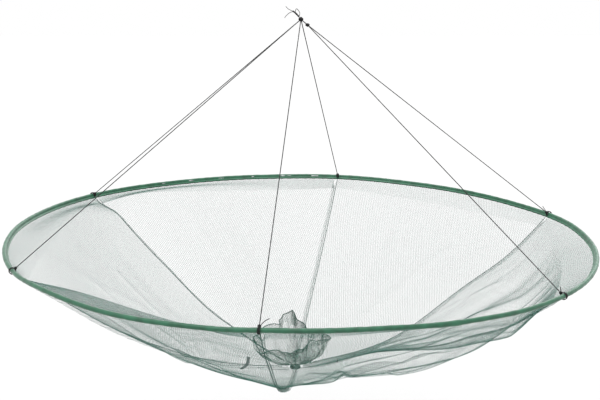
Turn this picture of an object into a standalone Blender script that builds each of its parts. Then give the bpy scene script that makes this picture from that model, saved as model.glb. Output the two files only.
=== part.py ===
"""Foldable round lift net: a spring-wire hoop in a sewn casing, a six-panel mesh bowl with a bait pouch
in its middle, and six bridle cords up to one hang knot.

Metres, +Z up. The origin is the hang knot; the hoop and the bowl hang below it. Azimuths are in degrees,
anticlockwise from +X seen from above. In the bowl, "reach" is the distance from the hoop's axis and "drop"
the distance below the hoop's plane.
"""

import math

import bmesh
import bpy
import numpy as np

# ---- Driving dimensions ----
HOOP_RADIUS = 0.400
HANG_HEIGHT = 0.303
HOOP_TILT = math.radians(0.83)  # the hoop hangs a little lower towards +X
WIRE_RADIUS = 0.00175
CASING_RADIUS = 0.0033
CASING_BORE = 0.00205
FLANGE_LENGTH = 0.0032
FLANGE_ANGLE = 215.0
FLANGE_SLOT = 0.0016
CLOTH = 0.001
GAP = 0.0003
PANEL_COLUMNS = 8

BOWL_DEPTH = 0.178
TIP_DEPTH = 0.009
BOWL_POWER = 1.95
TIP_POWER = 8.0
CREASE_REACH = 0.955
MIDDLE_HOLE = 0.0105
MIDDLE_SHIFT = -0.008  # the bowl's middle lies a little towards -X
SHELF_FADE = 0.15  # share of the way in over which folds grow from the crease
RIM_FADE = 0.5  # share of the hoop's radius inside which its unevenness is gone
LIFT_SHARES = (0.0, 0.35, 0.65, 0.85, 1.0)  # shares of the hoop's radius at which a seam's lift is stated
FOLD_SCALE_LEAST = 0.2  # folds nearer the middle than this share are no narrower
EDGE_SHARE_MOST = 0.45  # an edge offset is never a greater share of its reach
GATHER_RADIUS = 0.0085
GATHER_HALF = 0.003
NET_EDGE_START = 0.0038
NET_EDGE_CLEAR = 0.0078
ALLOWANCE = 0.006
ALLOWANCE_LEAN = 30.0
SEAM_HALF_GAP = 0.0013

CORD_RADIUS = 0.0007
TIE_CORD_RADIUS = 0.0006
TIE_KNOT_RADIUS = 0.0018
TIE_SWELL = 22.0  # degrees round the casing over which a tie swells into its knot
TIE_CLEAR = 3.0  # degrees between a tie's ends and the casing's edges, beyond the gap
TIE_STATIONS = 19
KNOT_RADIUS = 0.0034
KNOT_TURNS = 3
KNOT_GROOVE = 0.14  # depth of the grooves between turns, as a share of the knot's radius
KNOT_SLANT = 4.0
JOIN_KNOT = (0.0088, -0.0008, -0.0108)
JOIN_KNOT_RADIUS = 0.0027
JOIN_STRETCH = (1.2, 0.9, 0.95)
LINK_RADIUS = 0.0009

# Rows of a panel, as shares of the way in: clear of the casing at the second, at the crease at the third.
PANEL_ROWS = (0.0, 0.05, 0.17, 0.25, 0.34, 0.44, 0.55, 0.66, 0.78, 0.90, 1.0)
ROW_CLEAR, ROW_CREASE = PANEL_ROWS[1:3]

TAPE_PLACE = (0.94, 0.25)  # across and down its panel
TAPE_STANDOFF = 3.5  # mm
TAPE_WIDTH = 3.6  # mm
TAPE_PATH = ((2.0, 0.0, 0.0), (1.5, -0.5, -3.0), (0.5, -1.0, -8.0), (-2.5, -1.0, -12.0), (-7.0, -0.5, -15.0))
THREAD_PLACE = (0.24, 0.28)
THREAD_STANDOFF = 2.0  # mm
THREAD_PATH = ((0.0, 0.0, 0.0), (0.2, -0.3, -2.4), (-0.2, -0.4, -5.0))

# ---- Tables ----
# The hoop isn't quite flat: (azimuth, lift in mm).
HOOP_LIFT = (
    (0, -0.8), (15, 1.2), (35, -0.8), (60, 0.2), (80, 1.5), (100, 0.0), (120, -0.8), (145, 0.3),
    (172, -0.5), (188, -3.0), (205, -4.7), (219, -1.9), (238, -4.2), (255, -2.8), (267, 0.0), (282, 1.0),
    (298, -1.6), (314, -3.8), (332, -4.2),
)
# Seams, each under a cord: (name, azimuth, lift in mm at 0.85, 0.65 and 0.35 of the hoop's radius, bow in mm).
SEAMS = (
    ("front_right", 323.0, 2.0, 13.0, 23.0, 0.0),
    ("back_right", 23.3, -2.0, 4.0, -9.0, 0.0),
    ("back", 81.3, 0.0, 0.0, 0.0, 9.0),
    ("back_left", 143.0, 22.0, 21.0, 9.0, 0.0),
    ("front_left", 204.0, 3.0, 0.0, -2.0, 0.0),
    ("front", 263.3, -8.0, -16.0, -10.0, 0.0),
)
# Panels, from one seam round to the next: (name, share of the chord that the shelf reaches, bulge in mm, how
# far across the panel and at what share of the hoop's radius it is deepest).
PANELS = (
    ("panel_right", 0.55, 26.0, 0.20, 0.80),
    ("panel_back_right", 0.60, 6.0, 0.50, 0.80),
    ("panel_back_left", 1.00, 3.0, 0.50, 0.80),
    ("panel_left", 0.85, 4.0, 0.50, 0.80),
    ("panel_front_left", 1.00, 9.0, 0.42, 0.50),
    ("panel_front_right", 0.45, 23.0, 0.77, 0.73),
)
# Main folds of the panels: (panel, fraction across and reach at each end, height and half width in mm).
FOLDS = (
    ("panel_right", 0.10, 0.95, 0.30, 0.55, 6.0, 16.0),
    ("panel_right", 0.45, 0.92, 0.50, 0.60, 5.0, 16.0),
    ("panel_right", 0.72, 0.94, 0.62, 0.45, -5.0, 18.0),
    ("panel_front_right", 0.75, 0.90, 0.35, 0.55, 6.0, 16.0),
    ("panel_front_right", 0.55, 0.70, 0.15, 0.35, -6.0, 16.0),
    ("panel_front_left", 0.25, 0.75, 0.75, 0.45, 4.0, 16.0),
    ("panel_left", 0.25, 0.97, 0.60, 0.90, 4.0, 16.0),
    ("panel_back_left", 0.45, 0.75, 0.35, 0.50, -3.0, 18.0),
)
# Mouth of the bait pouch round its own middle: (azimuth, reach in mm, height over the gathering in mm).
POUCH_MOUTH = (
    (0, 44, 44), (45, 32, 42), (80, 21, 58), (105, 20, 73), (140, 29, 56),
    (180, 62, 38), (215, 48, 30), (250, 24, 24), (290, 23, 30), (325, 38, 40),
)
# Rings of the pouch from its foot to its mouth, as shares of the mouth's (height, reach).
POUCH_RINGS = ((0.00, 0.10), (0.16, 0.38), (0.38, 0.68), (0.68, 0.92), (1.00, 1.00))
POUCH_COLUMNS = 20
POUCH_FOOT = 0.006
# Cords run from a knot to a tie: (seam, knot).
CORDS = tuple((seam[0], "joining_knot" if "right" in seam[0] else "hang_knot") for seam in SEAMS)
# Loose ends of the hang knot, from the origin: (name, points x, y, z in mm).
HANG_TAILS = (
    ("tail_hang_thick", ((-2.4, 0, -0.4), (-5.8, 0, 3.6), (-9.5, 0, 6.6), (-13.0, 0, 8.2), (-17.0, 0, 10.4),
                         (-20.0, 0, 13.6))),
    ("tail_hang_curl", ((-1.6, -2.6, -1.0), (-6.0, -4.5, 5.0), (-10.5, -4.8, 7.0), (-15.5, -4.0, 5.2),
                        (-20.0, -3.0, 1.0), (-21.5, -2.5, -1.5))),
)
# Loose ends of the ties, from the tie's knot: (name, seam, points x, y, z in mm).
TIE_TAILS = (
    ("tail_front", "front", ((1.6, -0.9, 1.2), (3.4, -1.4, 4.0), (7.0, -1.6, 7.2), (11.5, -1.6, 9.6))),
    ("tail_front_right", "front_right", ((-0.1, -0.8, 2.1), (-0.6, -1.2, 5.0), (-1.4, -1.4, 8.6))),
    ("tail_back_right", "back_right", ((-0.9, 0.9, 1.8), (-3.2, 1.6, 5.0), (-5.8, 2.0, 9.0))),
)

MATERIALS = {
    "casing_cloth": ((0.05, 0.22, 0.12), 0.80, 0.0),
    "net_mesh": ((0.06, 0.16, 0.12), 0.75, 0.0),
    "cord_black": ((0.01, 0.01, 0.01), 0.70, 0.0),
    "spring_steel": ((0.45, 0.46, 0.47), 0.35, 1.0),
}


# ---- Shape of the bowl ----
def eased(x, stations, values, period=None):
    """Value at x on a line that levels out at each station."""
    stations, values = list(stations), list(values)
    if period:
        x = x % period
        stations.append(stations[0] + period)
        values.append(values[0])
    k = max(0, min(len(stations) - 2, int(np.searchsorted(stations, x, side="right")) - 1))
    share = min(1.0, max(0.0, (x - stations[k]) / (stations[k + 1] - stations[k])))
    share = 0.5 - 0.5 * math.cos(math.pi * share)
    return values[k] + (values[k + 1] - values[k]) * share


def hoop_lift(azimuth):
    return eased(azimuth, [row[0] for row in HOOP_LIFT], [row[1] / 1000 for row in HOOP_LIFT], period=360)


def hung(azimuth, reach, height):
    """The point at an azimuth and reach, that high over the hoop's plane, with the hoop's tilt."""
    x, y = reach * math.cos(math.radians(azimuth)), reach * math.sin(math.radians(azimuth))
    return np.array([x, y, height - HANG_HEIGHT - x * math.tan(HOOP_TILT)])


def on_hoop(azimuth, outward=0.0, up=0.0):
    """A point beside the hoop's centre line, stepped outward and up from it."""
    return hung(azimuth, HOOP_RADIUS + outward, hoop_lift(azimuth) + up)


def bowl_drop(share):
    """Drop of a seam at a share of the hoop's radius: a shallow bowl with a small cone at its tip."""
    share = min(share, 1.0)
    return BOWL_DEPTH * (1 - share**BOWL_POWER) + TIP_DEPTH * (1 - share) ** TIP_POWER


def seam_lift(seam, share):
    outer, middle, inner = (lift / 1000 for lift in seam[2:5])
    return eased(share, LIFT_SHARES, (0.0, inner, middle, outer, 0.0))


def hump(across, deepest):
    """Rises from 0 at one seam to 1 where it is deepest, and falls to 0 at the other."""
    return math.sin(math.pi * across ** (math.log(0.5) / math.log(deepest))) if across > 0 else 0.0


def hump_in(share, deepest):
    """Rises from 0 at the middle to 1 where it is deepest, and falls to 0 at the hoop."""
    return (share / deepest) ** (deepest / (1 - deepest)) * (1 - share) / (1 - deepest)


def middle_shift(share):
    return MIDDLE_SHIFT * (1 - min(1.0, share)) ** 2


def middle():
    """The bowl's middle point, where the seams meet."""
    return np.array([MIDDLE_SHIFT, 0.0, -HANG_HEIGHT - BOWL_DEPTH - TIP_DEPTH])


def fold_lift(panel, across, share):
    """Sum of a panel's main folds: soft ridges and troughs that fade out at their ends."""
    lift = 0.0
    for name, a0, s0, a1, s1, height, width in FOLDS:
        if name == panel:
            # distances in metres across the panel and along it
            scale = HOOP_RADIUS * max(share, FOLD_SCALE_LEAST)
            run = np.array([(a1 - a0) * scale, (s1 - s0) * HOOP_RADIUS])
            here = np.array([(across - a0) * scale, (share - s0) * HOOP_RADIUS])
            along = float(here @ run / (run @ run))
            beside = here - np.clip(along, 0, 1) * run
            lift += height / 1000 * math.exp(-float(beside @ beside) / (width / 1000) ** 2)
    return lift


def panel_point(number, across, down, edge_offset=0.0):
    """A point of a panel: across 0..1 from seam to seam, down 0 at the casing to 1 at the middle.

    edge_offset keeps the panel's sides that far from the two seams' planes.
    """
    name, shelf, bulge, across_deepest, out_deepest = PANELS[number]
    first, second = SEAMS[number], SEAMS[(number + 1) % len(SEAMS)]
    start, end = first[1], first[1] + (second[1] - first[1]) % 360
    half = (end - start) / 2
    turn = start + (end - start) * across - (start + end) / 2
    chord = math.cos(math.radians(half)) / math.cos(math.radians(turn))
    chord = 1 - shelf * (1 - chord)
    crease = CREASE_REACH * chord * HOOP_RADIUS

    flange = math.radians(FLANGE_ANGLE)
    if down <= ROW_CLEAR:
        step = NET_EDGE_START + (NET_EDGE_CLEAR - NET_EDGE_START) * down / ROW_CLEAR
        outward, up = step * math.cos(flange), step * math.sin(flange)
        inset = math.degrees(edge_offset / (HOOP_RADIUS + outward))
        return on_hoop(start + inset + (end - start - 2 * inset) * across, outward, up)
    if down <= ROW_CREASE:
        share = (down - ROW_CLEAR) / (ROW_CREASE - ROW_CLEAR)
        reach = HOOP_RADIUS + NET_EDGE_CLEAR * math.cos(flange)
        reach += (crease - reach) * share
        drop = -NET_EDGE_CLEAR * math.sin(flange)
        drop += (bowl_drop(CREASE_REACH) - drop) * share
    else:
        share = (down - ROW_CREASE) / (1 - ROW_CREASE)
        reach = crease + (MIDDLE_HOLE - crease) * share
        drop = bowl_drop(reach / (HOOP_RADIUS * chord))
    share = reach / HOOP_RADIUS
    arch = math.sin(math.pi * across)
    inner = min(1.0, max(0.0, (1 - share / (CREASE_REACH * chord)) / SHELF_FADE))
    drop -= seam_lift(first, share) * (1 - across) + seam_lift(second, share) * across
    drop += bulge / 1000 * hump(across, across_deepest) * hump_in(share, out_deepest) * inner
    drop -= fold_lift(name, across, share) * arch * inner
    rim_share = min(1.0, max(0.0, (share - RIM_FADE) / (1 - RIM_FADE)))

    inset = math.degrees(math.asin(min(EDGE_SHARE_MOST, edge_offset / reach)))
    azimuth = start + inset + (end - start - 2 * inset) * across
    bow = (first[5] * (1 - across) + second[5] * across) / 1000 * math.sin(math.pi * min(1, share)) / reach
    azimuth += math.degrees(bow)
    point = hung(azimuth, reach, hoop_lift(azimuth) * rim_share - drop)
    point[0] += middle_shift(share)
    return point


# ---- Building helpers ----
def material(name):
    """A plain Principled material, made once."""
    found = bpy.data.materials.get(name)
    if found:
        return found
    colour, roughness, metallic = MATERIALS[name]
    made = bpy.data.materials.new(name)
    made.use_nodes = True
    shader = made.node_tree.nodes["Principled BSDF"]
    shader.inputs["Base Color"].default_value = (*colour, 1.0)
    shader.inputs["Roughness"].default_value = roughness
    shader.inputs["Metallic"].default_value = metallic
    made.diffuse_color = (*colour, 1.0)
    return made


def add_object(name, data, slot):
    thing = bpy.data.objects.new(name, data)
    bpy.context.scene.collection.objects.link(thing)
    data.materials.append(material(slot))
    return thing


def add_mesh(name, points, faces, slot):
    mesh = bpy.data.meshes.new(name)
    mesh.from_pydata([tuple(map(float, p)) for p in points], [], faces)
    mesh.shade_smooth()
    mesh.set_sharp_from_angle(angle=math.radians(40))
    return add_object(name, mesh, slot)


def thicken(thing, thickness):
    """Gives a sheet its thickness, half to each side."""
    solid = thing.modifiers.new("Cloth thickness", "SOLIDIFY")
    solid.thickness = thickness
    solid.offset = 0.0
    return thing


def hoop_stations():
    """Azimuths of the hoop's corners: the panels' own columns, so that the facets of both lie side by side."""
    stations = []
    for seam, after in zip(SEAMS, SEAMS[1:] + SEAMS[:1]):
        width = (after[1] - seam[1]) % 360
        edge, root = (math.degrees(offset / HOOP_RADIUS) for offset in (SEAM_HALF_GAP, SEAM_HALF_GAP + ALLOWANCE))
        field = [root + (width - 2 * root) * c / PANEL_COLUMNS for c in range(PANEL_COLUMNS + 1)]
        stations += [seam[1] + step for step in (edge, *field, width - edge)]
    return stations


def closed_ring(name, profile, slot):
    """A profile of (outward, up) steps carried once round the hoop, closed on itself."""
    points, faces = [], []
    stations = hoop_stations()
    for azimuth in stations:
        points += [on_hoop(azimuth, outward, up) for outward, up in profile]
    count = len(profile)
    for step in range(len(stations)):
        here, there = step * count, (step + 1) % len(stations) * count
        for k in range(count):
            after = (k + 1) % count
            faces.append((here + k, there + k, there + after, here + after))
    return add_mesh(name, points, faces, slot)


def swept_tube(name, path, radii, sides, slot):
    """A capped tube along a path, with a radius for each of its points."""
    path = [np.array(p, float) for p in path]
    points, faces = [], []
    side = None
    for k, here in enumerate(path):
        ahead = path[min(k + 1, len(path) - 1)] - path[max(k - 1, 0)]
        ahead /= np.linalg.norm(ahead)
        if side is None:
            side = np.cross(ahead, [0, 0, 1] if abs(ahead[2]) < 0.9 else [1, 0, 0])
        side -= ahead * (side @ ahead)
        side /= np.linalg.norm(side)
        other = np.cross(ahead, side)
        for n in range(sides):
            turn = 2 * math.pi * n / sides
            points.append(here + radii[k] * (math.cos(turn) * side + math.sin(turn) * other))
    for k in range(len(path) - 1):
        for n in range(sides):
            after = (n + 1) % sides
            faces.append((k * sides + n, k * sides + after, (k + 1) * sides + after, (k + 1) * sides + n))
    faces.append(tuple(reversed(range(sides))))
    faces.append(tuple((len(path) - 1) * sides + n for n in range(sides)))
    return add_mesh(name, points, faces, slot)


def smooth_route(points, steps):
    """Points read from a smooth curve through the route's own points (Catmull-Rom)."""
    p = [np.array(q, float) for q in points]
    p = [2 * p[0] - p[1], *p, 2 * p[-1] - p[-2]]
    route = []
    for k in range(1, len(p) - 2):
        for step in range(steps):
            t = step / steps
            route.append(
                0.5 * (2 * p[k] + (p[k + 1] - p[k - 1]) * t
                       + (2 * p[k - 1] - 5 * p[k] + 4 * p[k + 1] - p[k + 2]) * t**2
                       + (3 * p[k] - p[k - 1] - 3 * p[k + 1] + p[k + 2]) * t**3)
            )
    return [*route, p[-2]]


def cord(name, route, radius):
    """A free cord: one POLY spline with a round bevel and filled caps."""
    curve = bpy.data.curves.new(name, "CURVE")
    curve.dimensions = "3D"
    curve.bevel_depth = radius
    curve.bevel_resolution = 2
    curve.use_fill_caps = True
    spline = curve.splines.new("POLY")
    spline.points.add(len(route) - 1)
    for point, place in zip(spline.points, route):
        point.co = (*map(float, place), 1.0)
    return add_object(name, curve, "cord_black")


# ---- Sub-parts ----
def make_hoop():
    corners = [2 * math.pi * (k + 0.5) / 8 for k in range(8)]
    profile = [(WIRE_RADIUS * math.cos(c), WIRE_RADIUS * math.sin(c)) for c in corners]
    closed_ring("spring_hoop", profile, "spring_steel")


def make_casing():
    """Keyhole profile: a tube of cloth over the wire, its two edges lying along the net's top edge."""
    flange = math.radians(FLANGE_ANGLE)
    along = np.array([math.cos(flange), math.sin(flange)])
    beside = np.array([-along[1], along[0]])
    tip = CASING_RADIUS + FLANGE_LENGTH

    def arc(radius, offset, count):
        opening = math.asin(offset / radius)
        turns = np.linspace(flange + opening, flange + 2 * math.pi - opening, count)
        return [(radius * math.cos(a), radius * math.sin(a)) for a in turns]

    outer_offset, inner_offset = FLANGE_SLOT / 2 + CLOTH, FLANGE_SLOT / 2
    outer = arc(CASING_RADIUS, outer_offset, 10)
    inner = arc(CASING_BORE / math.cos(math.pi / 8), inner_offset, 8)
    tips = [along * tip + beside * offset for offset in (-outer_offset, -inner_offset, inner_offset, outer_offset)]
    profile = [*outer, tuple(tips[0]), tuple(tips[1]), *reversed(inner), tuple(tips[2]), tuple(tips[3])]
    closed_ring("hoop_casing", profile, "casing_cloth")


def make_panel(number):
    """One panel of mesh: its field between two seams, and an allowance turned outward along each side."""
    first, second = SEAMS[number], SEAMS[(number + 1) % len(SEAMS)]
    lean = math.radians(ALLOWANCE_LEAN)
    rows = []
    for down in PANEL_ROWS:
        fold_open = min(1.0, max(0.0, (down - ROW_CLEAR) / (ROW_CREASE - ROW_CLEAR)))
        root = SEAM_HALF_GAP + (1 - fold_open) * ALLOWANCE
        field = [panel_point(number, c / PANEL_COLUMNS, down, root) for c in range(PANEL_COLUMNS + 1)]
        edges = []
        for seam, inward in ((first, 1.0), (second, -1.0)):
            angle = math.radians(seam[1])
            tangent = np.array([-math.sin(angle), math.cos(angle), 0.0])
            turned = math.sqrt(1 - (1 - fold_open) ** 2)
            outward = math.cos(lean) * np.array([0, 0, -1.0]) + math.sin(lean) * tangent
            edges.append(ALLOWANCE * (-inward * (1 - fold_open) * tangent + turned * outward))
        rows.append([field[0] + edges[0], *field, field[-1] + edges[1]])
    width = len(rows[0])
    points = [p for row in rows for p in row]
    faces = [
        (r * width + c, r * width + c + 1, (r + 1) * width + c + 1, (r + 1) * width + c)
        for r in range(len(rows) - 1)
        for c in range(width - 1)
    ]
    thicken(add_mesh(PANELS[number][0], points, faces, "net_mesh"), CLOTH)


def make_knot(name, centre, radius, stretch, slot="cord_black"):
    """A wound knot: a ball with three turns of cord standing out of it."""
    form = bmesh.new()
    bmesh.ops.create_uvsphere(form, u_segments=12, v_segments=8, radius=1.0)
    for vertex in form.verts:
        x, y, z = vertex.co
        swell = 1 - KNOT_GROOVE + KNOT_GROOVE * math.cos(KNOT_TURNS * math.atan2(y, x) + KNOT_SLANT * z)
        vertex.co = [c + radius * s * swell * v for c, s, v in zip(centre, stretch, (x, y, z))]
    mesh = bpy.data.meshes.new(name)
    form.to_mesh(mesh)
    form.free()
    mesh.shade_smooth()
    add_object(name, mesh, slot)


def tie_step(beyond_casing):
    """Step from the hoop's centre line towards the hang knot, to a little beyond the casing."""
    up_in = math.atan2(HANG_HEIGHT, -HOOP_RADIUS)
    distance = CASING_RADIUS + GAP + beyond_casing
    return distance * math.cos(up_in), distance * math.sin(up_in)


def make_tie(seam):
    """Cord bound round the casing, open where the net leaves it, and swollen into a knot on top."""
    loop = CASING_RADIUS + GAP + TIE_CORD_RADIUS
    clear = math.degrees(math.asin((FLANGE_SLOT / 2 + CLOTH + GAP + TIE_CORD_RADIUS) / loop))
    clear += TIE_CLEAR
    knot_at = math.degrees(math.atan2(HANG_HEIGHT, -HOOP_RADIUS))
    turns = np.linspace(FLANGE_ANGLE + clear, FLANGE_ANGLE + 360 - clear, TIE_STATIONS)
    path, radii = [], []
    for turn in turns:
        near = math.exp(-(((turn - 360 - knot_at) / TIE_SWELL) ** 2))
        radius = TIE_CORD_RADIUS + (TIE_KNOT_RADIUS - TIE_CORD_RADIUS) * near
        distance = CASING_RADIUS + GAP + radius
        angle = math.radians(turn)
        path.append(on_hoop(seam[1], distance * math.cos(angle), distance * math.sin(angle)))
        radii.append(radius)
    swept_tube("tie_" + seam[0], path, radii, 8, "cord_black")


def make_cord(seam, knot):
    """One bridle cord, taut from its knot to its tie."""
    top, clear = (
        (np.array(JOIN_KNOT), JOIN_KNOT_RADIUS) if knot == "joining_knot"
        else (np.array([0, 0, -KNOT_RADIUS]), KNOT_RADIUS)
    )
    end = on_hoop(seam[1], *tie_step(2 * TIE_KNOT_RADIUS))
    run = end - top
    length = np.linalg.norm(run)
    start = top + run / length * (clear + GAP)
    stop = end - run / length * GAP
    cord("cord_" + seam[0], [start + (stop - start) * k / 9 for k in range(10)], CORD_RADIUS)


def make_link():
    """The short doubled cord that hangs the joining knot from the hang knot."""
    top, low = np.array([0, 0, -KNOT_RADIUS]), np.array(JOIN_KNOT)
    run = low - top
    length = np.linalg.norm(run)
    start = top + run / length * (KNOT_RADIUS + GAP)
    stop = low - run / length * (JOIN_KNOT_RADIUS * max(JOIN_STRETCH) + GAP)
    cord("cord_link", [start, (start + stop) / 2, stop], LINK_RADIUS)


def make_pouch():
    """A small mesh bag, sewn at its foot to the bowl's middle, its uneven mouth standing open."""
    foot = middle() + np.array([0, 0, GATHER_HALF + GAP + CLOTH])
    rows = []
    for height, reach in POUCH_RINGS:
        row = []
        for column in range(POUCH_COLUMNS):
            azimuth = 360 * column / POUCH_COLUMNS
            mouth_reach, mouth_height = (
                eased(azimuth, [place[0] for place in POUCH_MOUTH], [place[k] / 1000 for place in POUCH_MOUTH], 360)
                for k in (1, 2)
            )
            angle = math.radians(azimuth)
            out = POUCH_FOOT + (mouth_reach - POUCH_FOOT) * reach if height else POUCH_FOOT
            row.append(foot + np.array([out * math.cos(angle), out * math.sin(angle), mouth_height * height]))
        rows.append(row)
    points = [p for row in rows for p in row]
    count = POUCH_COLUMNS
    faces = [
        (r * count + c, r * count + (c + 1) % count, (r + 1) * count + (c + 1) % count, (r + 1) * count + c)
        for r in range(len(rows) - 1)
        for c in range(count)
    ]
    faces.append(tuple(reversed(range(count))))
    thicken(add_mesh("bait_pouch", points, faces, "net_mesh"), CLOTH)


def make_gather():
    """The lump where six seams and the pouch's foot are sewn together."""
    flat = GATHER_HALF / GATHER_RADIUS
    make_knot("centre_gather", middle(), GATHER_RADIUS, (1, 1, flat), "net_mesh")


def outside_panel(number, across, down, step):
    """A point just outside a panel: step is (round the bowl, inward along it, outward from it) in mm."""
    here = panel_point(number, across, down)
    round_way = panel_point(number, across + 0.02, down) - here
    inward = panel_point(number, across, down + 0.02) - here
    round_way /= np.linalg.norm(round_way)
    inward -= round_way * (inward @ round_way)
    inward /= np.linalg.norm(inward)
    outward = np.cross(inward, round_way)
    return here + (step[0] * round_way + step[1] * inward + step[2] * outward) / 1000


def make_tape_tail():
    """A short strip of tape that hangs just outside the bowl's front, bent like a J."""
    top = outside_panel(4, *TAPE_PLACE, (0.0, 0.0, TAPE_STANDOFF))
    across = np.array([TAPE_WIDTH / 2, 0.0, -TAPE_WIDTH / 6]) / 1000
    points = []
    for step in TAPE_PATH:
        here = top + np.array(step) / 1000
        points += [here - across, here + across]
    faces = [(2 * k, 2 * k + 1, 2 * k + 3, 2 * k + 2) for k in range(len(TAPE_PATH) - 1)]
    thicken(add_mesh("tape_tail", points, faces, "net_mesh"), CLOTH)


def make_thread_end():
    top = outside_panel(5, *THREAD_PLACE, (0.0, 0.0, THREAD_STANDOFF))
    cord("thread_end", [top + np.array(step) / 1000 for step in THREAD_PATH], TIE_CORD_RADIUS)


def main():
    for thing in list(bpy.data.objects):
        bpy.data.objects.remove(thing, do_unlink=True)
    make_hoop()
    make_casing()
    for number in range(len(PANELS)):
        make_panel(number)
    make_gather()
    make_pouch()
    make_tape_tail()
    make_thread_end()
    make_knot("hang_knot", (0, 0, -KNOT_RADIUS), KNOT_RADIUS, (1.0, 0.9, 1.0))
    make_knot("joining_knot", JOIN_KNOT, JOIN_KNOT_RADIUS, JOIN_STRETCH)
    make_link()
    for seam, (_, knot) in zip(SEAMS, CORDS):
        make_tie(seam)
        make_cord(seam, knot)
    for name, points in HANG_TAILS:
        cord(name, smooth_route([np.array(p) / 1000 for p in points], 3), TIE_CORD_RADIUS)
    for name, place, points in TIE_TAILS:
        seam = next(s for s in SEAMS if s[0] == place)
        start = on_hoop(seam[1], *tie_step(TIE_KNOT_RADIUS))
        cord(name, smooth_route([start + np.array(p) / 1000 for p in points], 3), TIE_CORD_RADIUS)


main()
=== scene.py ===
"""Looks of the round lift net: mesh panels of real threads, sewn casing, laid cords, knots and bait pouch.

Metres, +Z up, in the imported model's frame: the origin is the hang knot and the hoop hangs below it.
Azimuths are in degrees, anticlockwise from +X seen from above.
"""

import math

import bpy
import numpy as np
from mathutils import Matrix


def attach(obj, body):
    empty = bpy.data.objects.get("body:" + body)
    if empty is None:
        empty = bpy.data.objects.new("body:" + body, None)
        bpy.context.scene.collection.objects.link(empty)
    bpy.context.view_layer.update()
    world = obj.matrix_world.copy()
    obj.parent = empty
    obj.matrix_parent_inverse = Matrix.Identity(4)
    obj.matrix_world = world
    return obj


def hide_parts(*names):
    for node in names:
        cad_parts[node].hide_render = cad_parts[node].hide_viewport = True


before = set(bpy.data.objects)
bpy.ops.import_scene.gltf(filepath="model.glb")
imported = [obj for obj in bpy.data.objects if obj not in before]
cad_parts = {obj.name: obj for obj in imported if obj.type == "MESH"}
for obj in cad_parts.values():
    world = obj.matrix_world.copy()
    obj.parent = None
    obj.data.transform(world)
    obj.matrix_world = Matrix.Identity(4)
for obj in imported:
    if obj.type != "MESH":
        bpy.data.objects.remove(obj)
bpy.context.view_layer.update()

# ---- Sizes of the construction ----
HOOP_RADIUS = 0.400
HANG_HEIGHT = 0.303
HOOP_TILT = math.radians(0.83)
CASING_RADIUS = 0.0033
FLANGE_ANGLE = math.radians(215.0)
CLOTH = 0.001
GAP = 0.0003

BOWL_DEPTH = 0.178
TIP_DEPTH = 0.009
BOWL_POWER = 1.95
TIP_POWER = 8.0
CREASE_REACH = 0.955
MIDDLE_HOLE = 0.0105
MIDDLE_SHIFT = -0.008
SHELF_FADE = 0.15  # share of the way in over which folds grow from the crease
RIM_FADE = 0.5  # share of the hoop's radius inside which its unevenness is gone
FOLD_SCALE_LEAST = 0.2  # folds nearer the middle than this share are no narrower
EDGE_SHARE_MOST = 0.45  # an edge offset is never a greater share of its reach
NET_EDGE_START = 0.0038
NET_EDGE_CLEAR = 0.0078
ALLOWANCE = 0.006
SEAM_HALF_GAP = 0.0013
ROW_CLEAR, ROW_CREASE = 0.05, 0.17  # shares of the way in where a panel clears the casing, and creases

CORD_RADIUS = 0.0007
TIE_CORD_RADIUS = 0.0006
TIE_KNOT_RADIUS = 0.0018
KNOT_RADIUS = 0.0034
JOIN_KNOT = (0.0088, -0.0008, -0.0108)
JOIN_KNOT_RADIUS = 0.0027
JOIN_STRETCH = (1.2, 0.9, 0.95)
LINK_RADIUS = 0.0009
LOOSE_THIN, LOOSE_THICK = 0.8, 2.1  # thickness of the hang knot's loose ends, in tie cords
TWIST = 0.004  # length of one turn of a tie cord's strands
POUCH_FOOT = 0.006
GATHER_HALF = 0.003
GATHER_RADIUS = 0.0078

# ---- Sizes of the looks ----
MESH_SPACING = 0.0027  # between threads of one family
MESH_ANGLE = math.radians(33)  # of the threads to a panel's centre line
THREAD_RADIUS = 0.0002
THREAD_STEP = 0.008  # the longest straight piece of a thread
THREAD_SLACK = 0.00006  # how far a straight piece may leave the curve
GRID = 360  # rows and columns of a panel's surface
POUCH_SPACING = 0.0019
COVER_RADIUS = 0.0028  # of the casing's cloth round the wire
COVER_SWELL = 0.0003  # thicker at the front, thinner at the back
COVER_PUCKER = 0.00006
LAP_START, LAP_END = 292.0, 297.0  # where the casing's two ends lie one over the other
LAP_STEP = 0.00035
STITCHES = 560
STITCH_PLACE = (0.0047, 0.0014)  # along the casing's edges and beside them
STITCH_RADIUS = 0.00035
HEM_RADIUS = 0.0008
SEAM_RADIUS = 0.00065

# Soft lamps far off: (name, strength, width of the source and turn from straight down in degrees).
LAMPS = (
    ("overhead", 2.2, 50.0, (12.0, -10.0, 0.0)),
    ("behind", 0.8, 30.0, (-62.0, 0.0, -20.0)),
)

# ---- Tables of the construction ----
# The hoop isn't quite flat: (azimuth, lift in mm).
HOOP_LIFT = (
    (0, -0.8), (15, 1.2), (35, -0.8), (60, 0.2), (80, 1.5), (100, 0.0), (120, -0.8), (145, 0.3),
    (172, -0.5), (188, -3.0), (205, -4.7), (219, -1.9), (238, -4.2), (255, -2.8), (267, 0.0), (282, 1.0),
    (298, -1.6), (314, -3.8), (332, -4.2),
)
# Seams, each under a cord: (name, azimuth, lift in mm at 0.85, 0.65 and 0.35 of the hoop's radius, bow in mm).
SEAMS = (
    ("front_right", 323.0, 2.0, 13.0, 23.0, 0.0),
    ("back_right", 23.3, -2.0, 4.0, -9.0, 0.0),
    ("back", 81.3, 0.0, 0.0, 0.0, 9.0),
    ("back_left", 143.0, 22.0, 21.0, 9.0, 0.0),
    ("front_left", 204.0, 3.0, 0.0, -2.0, 0.0),
    ("front", 263.3, -8.0, -16.0, -10.0, 0.0),
)
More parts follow.
